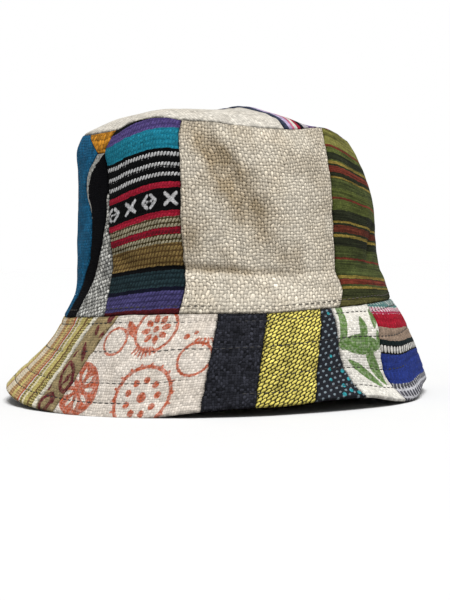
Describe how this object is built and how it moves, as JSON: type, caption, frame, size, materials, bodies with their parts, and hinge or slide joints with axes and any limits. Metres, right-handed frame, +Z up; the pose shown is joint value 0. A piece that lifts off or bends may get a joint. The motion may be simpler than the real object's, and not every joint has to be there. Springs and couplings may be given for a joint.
{
  "type": "patchwork bucket hat",
  "caption": "Soft bucket hat sewn from patches of striped, woven and block-printed hemp and cotton, with a tall crown creased over the brow, a soft top and a wavy stitched brim.",
  "frame": {"origin": "on the surface the hat stands on, under the middle of its bounding box", "axes": "+Z up through the crown, the front of the hat towards -Y, +X towards the side with the green striped patch"},
  "size_m": [0.2412, 0.238, 0.1651],
  "materials": {
    "natural_hemp": "coarse plain weave",
    "blue_cotton": "coarse plain weave",
    "black_cotton": "close weave",
    "grey_weave": "coarse flecked weave",
    "ochre_weave": "coarse weave",
    "banded_weave": "banded weave with a motif row",
    "green_stripe": "striped weave",
    "charcoal_weave": "close weave",
    "plum_stripe": "striped weave",
    "olive_stripe": "striped weave",
    "maroon_print": "printed cloth",
    "rust_print": "block-printed cloth",
    "yellow_weave": "chunky two-colour weave",
    "dotted_weave": "dotted weave",
    "leaf_print": "printed cloth",
    "bright_stripe": "striped weave",
    "plain_cotton": "plain weave",
    "top_stripe": "striped weave"
  },
  "bodies": {
    "root": {"crown_patch_blue": "blue_cotton", "crown_patch_black": "black_cotton", "crown_patch_grey": "grey_weave", "crown_patch_ochre": "ochre_weave", "crown_patch_stripe": "banded_weave", "crown_patch_hemp": "natural_hemp", "crown_patch_green": "green_stripe", "crown_patch_right": "charcoal_weave", "crown_patch_back": "natural_hemp", "crown_patch_plum": "plum_stripe", "crown_patch_left": "ochre_weave", "tip_patch_cream": "plain_cotton", "tip_patch_stripe": "top_stripe", "brim_patch_olive": "olive_stripe", "brim_patch_paisley": "maroon_print", "brim_patch_print": "rust_print", "brim_patch_charcoal": "charcoal_weave", "brim_patch_yellow": "yellow_weave", "brim_patch_dotted": "dotted_weave", "brim_patch_leaf": "leaf_print", "brim_patch_band": "bright_stripe", "brim_patch_right": "natural_hemp", "brim_patch_back_green": "green_stripe", "brim_patch_back_plain": "plain_cotton", "brim_patch_back_blue": "blue_cotton", "brim_patch_left": "charcoal_weave"}
  },
  "joints": []
}
